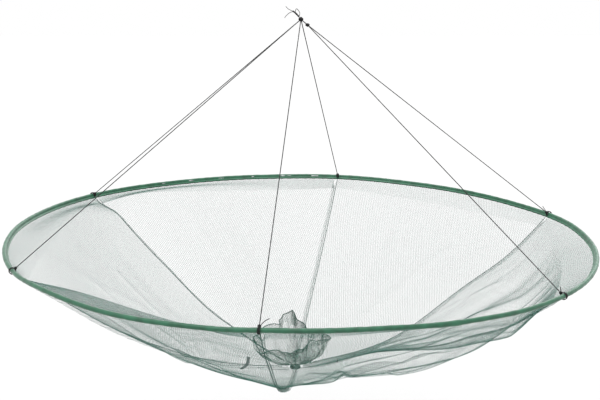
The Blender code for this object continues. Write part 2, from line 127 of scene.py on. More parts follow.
# How far each seam's two flaps lean from hanging straight down, in degrees, and to which side.
FLAP_LEAN = {
    "front_right": 60.0,
    "back_right": -78.0,
    "back": 72.0,
    "back_left": -55.0,
    "front_left": 10.0,
    "front": 35.0,
}
# Panels, from one seam round to the next: (name, share of the chord that the shelf reaches, bulge in mm, how
# far across the panel and at what share of the hoop's radius it is deepest).
PANELS = (
    ("panel_right", 0.55, 26.0, 0.20, 0.80),
    ("panel_back_right", 0.60, 6.0, 0.50, 0.80),
    ("panel_back_left", 1.00, 3.0, 0.50, 0.80),
    ("panel_left", 0.85, 4.0, 0.50, 0.80),
    ("panel_front_left", 1.00, 9.0, 0.42, 0.50),
    ("panel_front_right", 0.45, 23.0, 0.77, 0.73),
)
# Folds: (panel, fraction across and reach at each end, height and half width in mm). The first eight are the
# construction's main folds, and the rest are creases of the cloth.
FOLDS = (
    ("panel_right", 0.10, 0.95, 0.30, 0.55, 6.0, 16.0),
    ("panel_right", 0.45, 0.92, 0.50, 0.60, 5.0, 16.0),
    ("panel_right", 0.72, 0.94, 0.62, 0.45, -5.0, 18.0),
    ("panel_front_right", 0.75, 0.90, 0.35, 0.55, 6.0, 16.0),
    ("panel_front_right", 0.55, 0.70, 0.15, 0.35, -6.0, 16.0),
    ("panel_front_left", 0.25, 0.75, 0.75, 0.45, 4.0, 16.0),
    ("panel_left", 0.25, 0.97, 0.60, 0.90, 4.0, 16.0),
    ("panel_back_left", 0.45, 0.75, 0.35, 0.50, -3.0, 18.0),
    ("panel_right", 0.93, 0.95, 0.83, 0.86, 2.1, 4.0),
    ("panel_right", 0.50, 0.96, 0.27, 0.86, 3.1, 4.8),
    ("panel_right", 0.38, 0.88, 0.37, 0.76, 2.8, 4.0),
    ("panel_right", 0.26, 0.90, 0.30, 0.80, 2.4, 4.0),
    ("panel_right", 0.92, 0.76, 0.95, 0.55, 1.8, 4.8),
    ("panel_right", 0.86, 0.84, 0.86, 0.60, -2.1, 5.6),
    ("panel_right", 0.80, 0.72, 0.95, 0.45, 2.1, 5.6),
    ("panel_right", 0.77, 0.94, 0.55, 0.82, -2.8, 6.4),
    ("panel_right", 0.65, 0.95, 0.50, 0.86, 2.4, 4.8),
    ("panel_right", 0.08, 0.90, 0.20, 0.60, 2.8, 6.4),
    ("panel_right", 0.15, 0.80, 0.40, 0.40, -2.8, 7.2),
    ("panel_right", 0.55, 0.62, 0.70, 0.30, 2.1, 6.4),
    ("panel_left", 0.12, 0.47, 0.13, 0.36, 1.2, 5.0),
    ("panel_left", 0.42, 0.66, 0.54, 0.50, 1.0, 5.0),
    ("panel_left", 0.68, 0.70, 0.73, 0.62, 1.0, 4.0),
    ("panel_left", 0.20, 0.75, 0.35, 0.45, -1.2, 12.0),
    ("panel_left", 0.75, 0.85, 0.60, 0.55, 1.0, 10.0),
    ("panel_back_left", 0.70, 0.80, 0.62, 0.45, 1.5, 8.0),
    ("panel_back_left", 0.20, 0.70, 0.25, 0.35, -1.5, 10.0),
    ("panel_back_right", 0.30, 0.75, 0.45, 0.40, 1.5, 10.0),
    ("panel_back_right", 0.70, 0.85, 0.65, 0.50, -1.8, 10.0),
    ("panel_back_right", 0.88, 0.90, 0.80, 0.60, 1.8, 8.0),
    ("panel_front_left", 0.33, 0.89, 0.60, 0.72, 3.0, 6.0),
    ("panel_front_left", 0.58, 0.84, 0.62, 0.76, 2.5, 5.0),
    ("panel_front_left", 0.72, 0.94, 0.78, 0.76, 2.5, 5.0),
    ("panel_front_left", 0.50, 0.78, 0.93, 0.90, 3.5, 6.0),
    ("panel_front_left", 0.67, 0.75, 0.97, 0.86, 4.0, 5.0),
    ("panel_front_left", 0.55, 0.66, 0.95, 0.78, -4.0, 6.0),
    ("panel_front_left", 0.70, 0.55, 0.95, 0.68, 3.5, 5.0),
    ("panel_front_left", 0.30, 0.62, 0.70, 0.62, 3.0, 6.0),
    ("panel_front_left", 0.15, 0.85, 0.40, 0.55, -3.5, 7.0),
    ("panel_front_right", 0.92, 0.96, 0.73, 0.89, 2.5, 5.0),
    ("panel_front_right", 0.92, 0.90, 0.62, 0.72, 5.0, 7.0),
    ("panel_front_right", 0.78, 0.85, 0.40, 0.62, 5.0, 7.0),
    ("panel_front_right", 0.57, 0.88, 0.38, 0.83, 2.5, 5.0),
    ("panel_front_right", 0.88, 0.60, 0.45, 0.38, -5.0, 8.0),
    ("panel_front_right", 0.82, 0.90, 0.58, 0.80, 3.5, 5.0),
    ("panel_front_right", 0.97, 0.80, 0.70, 0.55, -5.0, 8.0),
    ("panel_front_right", 0.80, 0.70, 0.35, 0.50, 4.0, 6.0),
    ("panel_front_right", 0.60, 0.72, 0.15, 0.60, -4.0, 6.0),
    ("panel_front_right", 0.15, 0.69, 0.40, 0.52, 4.0, 6.0),
    ("panel_front_right", 0.30, 0.60, 0.50, 0.35, 4.0, 6.0),
    ("panel_front_right", 0.25, 0.58, 0.80, 0.80, 4.5, 4.5),
    ("panel_front_right", 0.28, 0.64, 0.82, 0.85, -4.5, 4.5),
    ("panel_front_right", 0.30, 0.70, 0.84, 0.89, 4.5, 4.5),
)
# Mouth of the bait pouch round its own middle: (azimuth, reach in mm, height over the gathering in mm).
POUCH_MOUTH = (
    (0, 44, 44), (45, 32, 42), (80, 21, 58), (105, 20, 73), (140, 29, 56),
    (180, 62, 38), (215, 48, 30), (250, 24, 24), (290, 23, 30), (325, 38, 40),
)
# Crumples of the pouch: (pleats round it, lean of the pleats, where they start, size in mm).
POUCH_PLEATS = (
    (5, 2.0, 0.4, 3.2), (8, -4.0, 1.7, 2.6), (13, 6.0, 4.1, 2.0), (19, -9.0, 2.6, 1.2), (29, 13.0, 0.9, 0.7),
)
# The pouch's wall from its foot to its mouth at 1, and on inside it: shares of the mouth's height and reach.
POUCH_TURNED = 1.25
POUCH_DOWN = (0.0, 0.25, 0.5, 0.75, 1.0, POUCH_TURNED)
POUCH_HEIGHT = (0.0, 0.14, 0.36, 0.68, 1.0, 0.76)
POUCH_REACH = (0.0, 0.50, 0.78, 0.93, 1.0, 0.80)
TAPE_PLACE = (0.94, 0.25)  # across and down its panel
TAPE_WIDTH = 3.6  # mm
TAPE_STANDOFF = 3.5  # mm from its panel
TAPE_PATH = ((2.0, 0.0, 0.0), (1.5, -0.5, -3.0), (0.5, -1.0, -8.0), (-2.5, -1.0, -12.0), (-7.0, -0.5, -15.0))
THREAD_PLACE = (0.24, 0.28)
THREAD_STANDOFF = 2.0  # mm
THREAD_PATH = ((0.0, 0.0, 0.0), (0.2, -0.3, -2.4), (-0.2, -0.4, -5.0))
TAIL_WHIPPED = 16  # points of the thick tail's route that are bound round with cord
# A small open loop of cord beside the hang knot, points x, y, z in mm.
HANG_LOOP = ((-3.1, -0.6, 0.2), (-7.4, -1.2, 4.6), (-6.7, -1.4, 9.6), (-5.0, -1.4, 10.2), (-1.6, -1.2, 5.4),
             (-2.2, -0.6, 0.4))
# Loose ends of the hang knot, from the origin: (node, points x, y, z in mm).
HANG_TAILS = (
    ("tail_hang_thick", ((-2.4, 0, -0.4), (-5.8, 0, 3.6), (-9.5, 0, 6.6), (-13.0, 0, 8.2), (-17.0, 0, 10.4),
                         (-20.0, 0, 13.6))),
    ("tail_hang_curl", ((-1.6, -2.6, -1.0), (-6.0, -4.5, 5.0), (-10.5, -4.8, 7.0), (-15.5, -4.0, 5.2),
                        (-20.0, -3.0, 1.0), (-21.5, -2.5, -1.5))),
)
# Loose ends of the ties, from the tie's knot: (node, seam, points x, y, z in mm).
TIE_TAILS = (
    ("tail_front", "front", ((1.6, -0.9, 1.2), (3.4, -1.4, 4.0), (7.0, -1.6, 7.2), (11.5, -1.6, 9.6))),
    ("tail_front_right", "front_right", ((-0.1, -0.8, 2.1), (-0.6, -1.2, 5.0), (-1.4, -1.4, 8.6))),
    ("tail_back_right", "back_right", ((-0.9, 0.9, 1.8), (-3.2, 1.6, 5.0), (-5.8, 2.0, 9.0))),
)


# ---- Shape of the bowl ----
def eased(x, rows, period=None):
    """Values at x on a line through rows of (station, value) that levels out at each station."""
    stations = [row[0] for row in rows]
    values = [row[1] for row in rows]
    if period:
        x = np.mod(x, period)
        stations.append(stations[0] + period)
        values.append(values[0])
    stations, values = np.array(stations, float), np.array(values, float)
    k = np.clip(np.searchsorted(stations, x, side="right") - 1, 0, len(stations) - 2)
    share = np.clip((x - stations[k]) / (stations[k + 1] - stations[k]), 0, 1)
    return values[k] + (values[k + 1] - values[k]) * (0.5 - 0.5 * np.cos(np.pi * share))


def hoop_lift(azimuth):
    return eased(azimuth, HOOP_LIFT, period=360) / 1000


def hung(azimuth, reach, height):
    """Points at an azimuth and reach, that high over the hoop's plane, with the hoop's tilt."""
    x, y = reach * np.cos(np.radians(azimuth)), reach * np.sin(np.radians(azimuth))
    return np.stack(np.broadcast_arrays(x, y, height - HANG_HEIGHT - x * math.tan(HOOP_TILT)), axis=-1)


def on_hoop(azimuth, outward=0.0, up=0.0):
    """Points beside the hoop's centre line, stepped outward and up from it."""
    return hung(azimuth, HOOP_RADIUS + outward, hoop_lift(azimuth) + up)


def bowl_drop(share):
    share = np.minimum(share, 1.0)
    return BOWL_DEPTH * (1 - share**BOWL_POWER) + TIP_DEPTH * (1 - share) ** TIP_POWER


def seam_lift(seam, share):
    outer, middle, inner = (lift / 1000 for lift in seam[2:5])
    return eased(share, ((0.0, 0.0), (0.35, inner), (0.65, middle), (0.85, outer), (1.0, 0.0)))


def hump(across, deepest):
    """Rises from 0 at one seam to 1 where it is deepest, and falls to 0 at the other."""
    return np.sin(np.pi * across ** (math.log(0.5) / math.log(deepest)))


def hump_in(share, deepest):
    """Rises from 0 at the middle to 1 where it is deepest, and falls to 0 at the hoop."""
    return (share / deepest) ** (deepest / (1 - deepest)) * (1 - share) / (1 - deepest)


def middle_shift(share):
    return MIDDLE_SHIFT * (1 - np.minimum(1.0, share)) ** 2


def middle():
    """The bowl's middle point, where the seams meet."""
    return np.array([MIDDLE_SHIFT, 0.0, -HANG_HEIGHT - BOWL_DEPTH - TIP_DEPTH])


def fold_lift(panel, across, share):
    """Sum of a panel's folds: soft ridges and troughs that fade out at their ends."""
    lift = 0.0
    scale = HOOP_RADIUS * np.maximum(share, FOLD_SCALE_LEAST)
    for name, a0, s0, a1, s1, height, width in FOLDS:
        if name == panel:
            run_x, run_y = (a1 - a0) * scale, (s1 - s0) * HOOP_RADIUS
            x, y = (across - a0) * scale, (share - s0) * HOOP_RADIUS
            along = np.clip((x * run_x + y * run_y) / (run_x**2 + run_y**2), 0, 1)
            beside = (x - along * run_x) ** 2 + (y - along * run_y) ** 2
            lift = lift + height / 1000 * np.exp(-beside / (width / 1000) ** 2)
    return lift


def panel_surface(number):
    """A panel's surface as a grid of points, rows from the casing to the middle, and each side's flap steps."""
    name, shelf, bulge, across_deepest, out_deepest = PANELS[number]
    first, second = SEAMS[number], SEAMS[(number + 1) % len(SEAMS)]
    across = np.linspace(0, 1, GRID + 1)[None, :]
    down = np.linspace(0, 1, GRID + 1)[:, None]
    width = (second[1] - first[1]) % 360
    chord = math.cos(math.radians(width / 2)) / np.cos(np.radians(width * (across - 0.5)))
    chord = 1 - shelf * (1 - chord)
    crease = CREASE_REACH * chord * HOOP_RADIUS

    in_shelf = np.clip((down - ROW_CLEAR) / (ROW_CREASE - ROW_CLEAR), 0, 1)
    in_face = np.clip((down - ROW_CREASE) / (1 - ROW_CREASE), 0, 1)
    step = NET_EDGE_START + (NET_EDGE_CLEAR - NET_EDGE_START) * np.clip(down / ROW_CLEAR, 0, 1)
    rim_reach, rim_drop = HOOP_RADIUS + step * math.cos(FLANGE_ANGLE), -step * math.sin(FLANGE_ANGLE)
    reach = rim_reach + (crease - rim_reach) * in_shelf + (MIDDLE_HOLE - crease) * in_face
    drop = np.where(
        down <= ROW_CREASE,
        rim_drop + (bowl_drop(CREASE_REACH) - rim_drop) * in_shelf,
        bowl_drop(reach / (HOOP_RADIUS * chord)),
    )
    share = reach / HOOP_RADIUS
    free = in_shelf**0.5
    arch = np.sin(np.pi * across)
    inner = np.clip((1 - share / (CREASE_REACH * chord)) / SHELF_FADE, 0, 1)
    lift = seam_lift(first, share) * (1 - across) + seam_lift(second, share) * across
    drop = drop - lift * np.where(in_shelf > 0, 1, 0)
    drop = drop + bulge / 1000 * hump(across, across_deepest) * hump_in(share, out_deepest) * inner
    drop = drop - fold_lift(name, across, share) * arch * inner
    rim_share = np.where(in_shelf > 0, np.clip((share - RIM_FADE) / (1 - RIM_FADE), 0, 1), 1.0)

    fold_open = in_shelf
    edge = SEAM_HALF_GAP + (1 - fold_open) * ALLOWANCE
    inset = np.degrees(np.arcsin(np.minimum(EDGE_SHARE_MOST, edge / reach)))
    azimuth = first[1] + inset + (width - 2 * inset) * across
    bow = (first[5] * (1 - across) + second[5] * across) / 1000 * np.sin(np.pi * np.minimum(1, share)) / reach
    azimuth = azimuth + np.degrees(bow) * free
    points = hung(azimuth, reach, hoop_lift(azimuth) * rim_share - drop)
    points[..., 0] += middle_shift(share) * np.where(in_shelf > 0, 1, 0)

    flaps = []
    for seam, inward in ((first, 1.0), (second, -1.0)):
        angle = math.radians(seam[1])
        tangent = np.array([-math.sin(angle), math.cos(angle), 0.0])
        lean = math.radians(FLAP_LEAN[seam[0]]) * (1 + 0.12 * np.sin(23 * down + seam[1]))
        turned = np.sqrt(1 - (1 - fold_open) ** 2)
        hanging = np.cos(lean) * np.array([0, 0, -1.0]) + np.sin(lean) * tangent
        flaps.append(-inward * (1 - fold_open) * tangent + turned * hanging)
    return points, flaps


# ---- Thread meshes ----
def grid_normals(points):
    """Unit normals of a grid of points."""
    normals = np.cross(np.gradient(points, axis=1), np.gradient(points, axis=0))
    return normals / np.maximum(np.linalg.norm(normals, axis=-1, keepdims=True), 1e-12)


def bilinear(grid, row, column):
    """Values of a grid at fractional rows and columns."""
    r = np.clip(row.astype(int), 0, grid.shape[0] - 2)
    c = np.clip(column.astype(int), 0, grid.shape[1] - 2)
    fr, fc = (row - r)[:, None], (column - c)[:, None]
    top = grid[r, c] * (1 - fc) + grid[r, c + 1] * fc
    bottom = grid[r + 1, c] * (1 - fc) + grid[r + 1, c + 1] * fc
    return top * (1 - fr) + bottom * fr


class Threads:
    """Collects three-sided tubes laid in a surface, and joins them into one mesh."""

    def __init__(self):
        self.points, self.quads, self.count = [], [], 0

    def lay(self, path, normals, radius):
        ahead = np.gradient(path, axis=0)
        ahead /= np.maximum(np.linalg.norm(ahead, axis=1, keepdims=True), 1e-12)
        side = np.cross(normals, ahead)
        side /= np.maximum(np.linalg.norm(side, axis=1, keepdims=True), 1e-12)
        over = np.cross(ahead, side)
        ring = [path + radius * (math.cos(a) * side + math.sin(a) * over) for a in np.radians((90, 210, 330))]
        points = np.stack(ring, axis=1).reshape(-1, 3)
        start = self.count + 3 * np.arange(len(path) - 1)[:, None]
        corner = np.arange(3)[None, :]
        after = (corner + 1) % 3
        quads = np.stack([start + corner, start + after, start + 3 + after, start + 3 + corner], axis=-1)
        self.points.append(points)
        self.quads.append(quads.reshape(-1, 4))
        self.count += len(points)

    def build(self, name, material):
        return add_mesh(name, np.concatenate(self.points), np.concatenate(self.quads), material)


def add_mesh(name, points, quads, material):
    """A mesh object from arrays of points and of four-cornered faces."""
    points, quads = np.asarray(points, np.float32), np.asarray(quads, np.int32)
    mesh = bpy.data.meshes.new(name)
    mesh.vertices.add(len(points))
    mesh.vertices.foreach_set("co", points.ravel())
    mesh.loops.add(quads.size)
    mesh.loops.foreach_set("vertex_index", quads.ravel())
    mesh.polygons.add(len(quads))
    mesh.polygons.foreach_set("loop_start", np.arange(0, quads.size, 4, dtype=np.int32))
    mesh.update(calc_edges=True)
    mesh.validate()
    mesh.shade_smooth()
    mesh.materials.append(material)
    thing = bpy.data.objects.new(name, mesh)
    bpy.context.scene.collection.objects.link(thing)
    return thing


def runs(inside):
    """(first, last) of each unbroken run of True."""
    steps = np.flatnonzero(np.diff(np.concatenate([[False], inside, [False]]).astype(int)))
    return zip(steps[::2], steps[1::2] - 1)


def eased_steps(path, normals):
    """The same line with only as many points as its bends need."""
    step = np.linalg.norm(np.diff(path, axis=0), axis=1)
    along = np.concatenate([[0], np.cumsum(step)])
    bend = np.zeros(len(path))
    turn = np.linalg.norm(path[2:] - 2 * path[1:-1] + path[:-2], axis=1)
    bend[1:-1] = turn / np.maximum(step[1:] * step[:-1], 1e-9)
    density = np.maximum(1 / THREAD_STEP, np.sqrt(bend / (8 * THREAD_SLACK)))
    load = np.concatenate([[0], np.cumsum((density[1:] + density[:-1]) / 2 * step)])
    wanted = np.interp(np.linspace(0, load[-1], max(2, int(load[-1]) + 2)), load, along)
    return [
        np.stack([np.interp(wanted, along, grid[:, k]) for k in range(3)], axis=1)
        for grid in (path, normals)
    ]


def thread_surface(threads, points, flaps, flap_width, spacing, angle, radius):
    """Lays two families of threads over a surface, unrolled flat row by row."""
    rows, columns = points.shape[:2]
    normals = grid_normals(points)
    middle_column = columns // 2
    steps = np.linalg.norm(np.diff(points[:, middle_column], axis=0), axis=1)
    rise = np.concatenate([[0], np.cumsum(steps)])
    widths = np.linalg.norm(np.diff(points, axis=1), axis=2).sum(axis=1)
    length, widest = rise[-1], widths.max()
    index = np.arange(rows, dtype=float)
    fine = np.arange(0, length, 0.0004)
    fine_width = np.interp(fine, rise, widths)
    for lean in (angle, -angle):
        slope = math.tan(lean)
        reach = widest / 2 + flap_width + length * abs(slope)
        for start in np.arange(-reach, reach, spacing / math.cos(lean)):
            beside = start + slope * fine
            for first, last in runs(np.abs(beside) <= fine_width / 2 + flap_width):
                run = fine[last] - fine[first]
                if run < 2 * spacing:
                    continue
                v = np.linspace(fine[first], fine[last], max(3, int(run / 0.0012)))
                u = start + slope * v
                row = np.interp(v, rise, index)
                half = np.interp(v, rise, widths) / 2
                column = (0.5 + np.clip(u / half, -1, 1) / 2) * (columns - 1)
                path, normal = bilinear(points, row, column), bilinear(normals, row, column)
                over = np.maximum(np.abs(u) - half, 0)[:, None]
                for flap, side in zip(flaps, (-1, 1)):
                    at_side = (u[:, None] * side > 0) * over
                    step = np.stack([np.interp(row, index, flap[:, k]) for k in range(3)], axis=1)
                    path = path + at_side * step
                path, normal = eased_steps(path, normal)
                threads.lay(path, normal, radius)
    return length, widths


# ---- Materials ----
def new_material(name, roughness, specular=0.3):
    made = bpy.data.materials.new(name)
    made.use_nodes = True
    nodes, links = made.node_tree.nodes, made.node_tree.links
    shader = nodes["Principled BSDF"]
    shader.inputs["Roughness"].default_value = roughness
    shader.inputs["Specular IOR Level"].default_value = specular
    return made, nodes, links, shader


def mottled(nodes, links, socket, dark, light, scale, detail=2.0):
    """Colour between two tones, patchy at that scale."""
    place = nodes.new("ShaderNodeTexCoord")
    noise = nodes.new("ShaderNodeTexNoise")
    noise.inputs["Scale"].default_value = scale
    noise.inputs["Detail"].default_value = detail
    ramp = nodes.new("ShaderNodeValToRGB")
    ramp.color_ramp.elements[0].position = 0.35
    ramp.color_ramp.elements[1].position = 0.65
    ramp.color_ramp.elements[0].color = (*dark, 1)
    ramp.color_ramp.elements[1].color = (*light, 1)
    links.new(place.outputs["Object"], noise.inputs["Vector"])
    links.new(noise.outputs["Fac"], ramp.inputs["Fac"])
    links.new(ramp.outputs["Color"], socket)
    return place


def thread_material(name, dark, light, opacity):
    """Fine translucent twine."""
    made, nodes, links, shader = new_material(name, 0.55)
    mottled(nodes, links, shader.inputs["Base Color"], dark, light, 60.0)
    shader.inputs["Alpha"].default_value = opacity
    return made


def cord_material(name, dark, light):
    made, nodes, links, shader = new_material(name, 0.6)
    place = mottled(nodes, links, shader.inputs["Base Color"], dark, light, 900.0)
    grain = nodes.new("ShaderNodeTexNoise")
    grain.inputs["Scale"].default_value = 4000.0
    bump = nodes.new("ShaderNodeBump")
    bump.inputs["Strength"].default_value = 0.4
    bump.inputs["Distance"].default_value = 0.0001
    links.new(place.outputs["Object"], grain.inputs["Vector"])
    links.new(grain.outputs["Fac"], bump.inputs["Height"])
    links.new(bump.outputs["Normal"], shader.inputs["Normal"])
    return made


def woven_material(name, dark, light, opacity=1.0):
    """Plain-woven cloth with fine threads both ways."""
    made, nodes, links, shader = new_material(name, 0.5, 0.5)
    place = mottled(nodes, links, shader.inputs["Base Color"], dark, light, 90.0, 4.0)
    shader.inputs["Alpha"].default_value = opacity
    shader.inputs["Sheen Weight"].default_value = 0.3
    shader.inputs["Sheen Roughness"].default_value = 0.4
    weave = nodes.new("ShaderNodeTexVoronoi")
    weave.inputs["Scale"].default_value = 2200.0
    bump = nodes.new("ShaderNodeBump")
    bump.inputs["Strength"].default_value = 0.35
    bump.inputs["Distance"].default_value = 0.0001
    links.new(place.outputs["Object"], weave.inputs["Vector"])
    links.new(weave.outputs["Distance"], bump.inputs["Height"])
    links.new(bump.outputs["Normal"], shader.inputs["Normal"])
    return made


def steel_material(name, dark, light):
    """Drawn wire: bare metal, a little uneven in colour and in its surface."""
    made, nodes, links, shader = new_material(name, 0.35, 0.5)
    shader.inputs["Metallic"].default_value = 1.0
    place = mottled(nodes, links, shader.inputs["Base Color"], dark, light, 400.0, 4.0)
    grain = nodes.new("ShaderNodeTexNoise")
    grain.inputs["Scale"].default_value = 1500.0
    bump = nodes.new("ShaderNodeBump")
    bump.inputs["Strength"].default_value = 0.2
    bump.inputs["Distance"].default_value = 0.00005
    links.new(place.outputs["Object"], grain.inputs["Vector"])
    links.new(grain.outputs["Fac"], bump.inputs["Height"])
    links.new(bump.outputs["Normal"], shader.inputs["Normal"])
    return made


# ---- Tubes ----
def smooth_route(points, steps):
    """Points read from a smooth curve through the route's own points (Catmull-Rom)."""
    p = [np.array(q, float) for q in points]
    p = [2 * p[0] - p[1], *p, 2 * p[-1] - p[-2]]
    route = []
    for k in range(1, len(p) - 2):
        for step in range(steps):
            t = step / steps
            route.append(
                0.5 * (2 * p[k] + (p[k + 1] - p[k - 1]) * t
                       + (2 * p[k - 1] - 5 * p[k] + 4 * p[k + 1] - p[k + 2]) * t**2
                       + (3 * p[k] - p[k - 1] - 3 * p[k + 1] + p[k + 2]) * t**3)
            )
    return np.array([*route, p[-2]])


def resampled(path, spacing):
    path = np.asarray(path, float)
    along = np.concatenate([[0], np.cumsum(np.linalg.norm(np.diff(path, axis=0), axis=1))])
    wanted = np.linspace(0, along[-1], max(2, int(along[-1] / spacing) + 1))
    return np.stack([np.interp(wanted, along, path[:, k]) for k in range(3)], axis=1), wanted


def carried_frames(path):
    """Two unit vectors across a path at each of its points, carried along without twist."""
    ahead = np.gradient(path, axis=0)
    ahead /= np.linalg.norm(ahead, axis=1, keepdims=True)
    side = np.cross(ahead[0], [0, 0, 1] if abs(ahead[0][2]) < 0.9 else [1, 0, 0])
    sides = []
    for direction in ahead:
        side = side - direction * (side @ direction)
        side = side / np.linalg.norm(side)
        sides.append(side)
    sides = np.array(sides)
    return sides, np.cross(ahead, sides)


def laid_tube(path, radius, pitch, sides=9, lobes=3, depth=0.12):
    """Points and faces of a laid cord: a lobed section that turns once a pitch, narrowed at its open ends."""
    path, along = resampled(path, pitch / 6)
    across, over = carried_frames(path)
    turns = 2 * math.pi * np.arange(sides) / sides
    swell = radius * (1 - depth + depth * np.cos(lobes * turns))
    ends = np.ones(len(path))
    ends[0] = ends[-1] = 0.55
    angle = turns[None, :] + 2 * math.pi * along[:, None] / pitch
    ring = (np.cos(angle)[..., None] * across[:, None] + np.sin(angle)[..., None] * over[:, None])
    points = path[:, None] + (swell[None, :] * ends[:, None])[..., None] * ring
    first = np.arange(len(path) - 1)[:, None] * sides
    corner = np.arange(sides)[None, :]
    after = (corner + 1) % sides
    quads = np.stack([first + corner, first + after, first + sides + after, first + sides + corner], axis=-1)
    return points.reshape(-1, 3), quads.reshape(-1, 4)


def joined(parts):
    """Several (points, quads) as one."""
    points, quads, count = [], [], 0
    for p, q in parts:
        points.append(p)
        quads.append(q + count)
        count += len(p)
    return np.concatenate(points), np.concatenate(quads)


# ---- Materials in use ----
net_thread = thread_material("net_thread", (0.014, 0.095, 0.066), (0.034, 0.150, 0.112), 0.36)
pouch_thread = thread_material("pouch_thread", (0.006, 0.080, 0.048), (0.020, 0.135, 0.088), 0.34)
gather_thread = thread_material("gather_thread", (0.006, 0.070, 0.045), (0.020, 0.120, 0.080), 0.30)
seam_thread = cord_material("seam_thread", (0.012, 0.055, 0.040), (0.030, 0.095, 0.072))
black_cord = cord_material("black_cord", (0.006, 0.006, 0.007), (0.03, 0.03, 0.03))
casing_cloth = woven_material("casing_cloth_green", (0.006, 0.070, 0.032), (0.014, 0.115, 0.056))
tape_cloth = woven_material("tape_cloth", (0.008, 0.03, 0.025), (0.02, 0.06, 0.05), 0.85)
spring_steel = steel_material("spring_steel_wire", (0.36, 0.37, 0.38), (0.54, 0.55, 0.56))

ROOT = "root"


def ride(piece, slot, *nodes):
    """A new piece of the object, a slot that is not used, and the nodes that it stands for."""
    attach(piece, ROOT)
    if nodes:
        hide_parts(*nodes)
    return piece


def net_panels(built):
    """Six panels of mesh, over the surfaces already worked out."""
    for (name, *_), (points, flaps) in zip(PANELS, built):
        threads = Threads()
        thread_surface(threads, points, flaps, ALLOWANCE, MESH_SPACING, MESH_ANGLE, THREAD_RADIUS)
        panel = ride(threads.build("net_" + name, net_thread), "net_mesh", name)


def seam_threads(surfaces):
    """The sewing thread of each seam: a twisted line in the valley between two panels."""
    for number, seam in enumerate(SEAMS):
        line = (surfaces[number][:, 0] + surfaces[number - 1][:, -1]) / 2
        points, quads = laid_tube(line[10:-4:6], SEAM_RADIUS, 0.008, sides=6, lobes=2, depth=0.3)
        ride(add_mesh("seam_" + seam[0], points, quads, seam_thread), "net_mesh")


def cord_ends(seam):
    """Where one bridle cord starts at its knot and stops at its tie."""
    if "right" in seam[0]:
        top, clear = np.array(JOIN_KNOT), JOIN_KNOT_RADIUS
    else:
        top, clear = np.array([0, 0, -KNOT_RADIUS]), KNOT_RADIUS
    end = on_hoop(seam[1], *tie_step(2 * TIE_KNOT_RADIUS))
    run = end - top
    length = np.linalg.norm(run)
    return top + run / length * (clear * 0.6), end - run / length * GAP


def tie_step(beyond_casing):
    up_in = math.atan2(HANG_HEIGHT, -HOOP_RADIUS)
    distance = CASING_RADIUS + GAP + beyond_casing
    return distance * math.cos(up_in), distance * math.sin(up_in)


def bridle_cords():
    for seam in SEAMS:
        start, stop = cord_ends(seam)
        points, quads = laid_tube([start, stop], CORD_RADIUS, 0.0055)
        cord = ride(add_mesh("bridle_" + seam[0], points, quads, black_cord), "cord_black", "cord_" + seam[0])


def wound_path(centre, radius, stretch, turns, tilt):
    """A line wound round a ball from one side to the other and back at another slant."""
    steps = np.linspace(0, 1, 40 * turns)
    path = []
    for slant in (tilt, tilt + 1.9):
        swing = math.cos(slant), math.sin(slant)
        height = 0.85 * np.cos(np.pi * steps)
        round_way = 2 * np.pi * turns * steps
        flat = np.sqrt(1 - height**2)
        x, y, z = flat * np.cos(round_way), flat * np.sin(round_way), height
        path.append(np.stack([x * swing[0] - z * swing[1], y, x * swing[1] + z * swing[0]], axis=1))
    path = np.concatenate(path)
    return np.array(centre) + radius * np.array(stretch) * path


def knot(name, centre, radius, stretch, material, slot, *nodes, cord_radius=TIE_CORD_RADIUS, turns=4, tilt=0.5):
    path = wound_path(centre, radius - cord_radius, stretch, turns, tilt)
    points, quads = laid_tube(path, cord_radius, 0.004, sides=6, lobes=3, depth=0.15)
    return ride(add_mesh(name, points, quads, material), slot, *nodes)


def knots_and_tails():
    knot("knot_hang", (0, 0, -KNOT_RADIUS), KNOT_RADIUS, (1.0, 0.9, 1.0), black_cord, "cord_black", "hang_knot")
    knot("knot_joining", JOIN_KNOT, JOIN_KNOT_RADIUS, JOIN_STRETCH, black_cord, "cord_black", "joining_knot",
         turns=3)
    ends = [np.array([0, 0, -KNOT_RADIUS]), np.array(JOIN_KNOT)]
    link = laid_tube(ends, LINK_RADIUS, TWIST, lobes=2, depth=0.3)
    ride(add_mesh("link_of_knots", *link, black_cord), "cord_black", "cord_link")
    route = smooth_route([np.array(p) / 1000 for p in HANG_LOOP], 8)
    loop = laid_tube(route, LOOSE_THIN * TIE_CORD_RADIUS, TWIST, sides=6)
    ride(add_mesh("loose_loop", *loop, black_cord), "cord_black")
    for name, points in HANG_TAILS:
        route = smooth_route([np.array(p) / 1000 for p in points], 6)
        tubes = [laid_tube(route, LOOSE_THIN * TIE_CORD_RADIUS, TWIST, sides=6)]
        if "thick" in name:
            bound = route[:TAIL_WHIPPED]
            tubes.append(laid_tube(bound, LOOSE_THICK * TIE_CORD_RADIUS, 0.003, sides=12, lobes=4, depth=0.2))
        ride(add_mesh("loose_" + name, *joined(tubes), black_cord), "cord_black", name)
    for name, place, points in TIE_TAILS:
        seam = next(s for s in SEAMS if s[0] == place)
        start = on_hoop(seam[1], *tie_step(TIE_KNOT_RADIUS))
        route = smooth_route([start + np.array(p) / 1000 for p in points], 6)
        tube = laid_tube(route, TIE_CORD_RADIUS, TWIST, sides=6)
        ride(add_mesh("loose_" + name, *tube, black_cord), "cord_black", name)


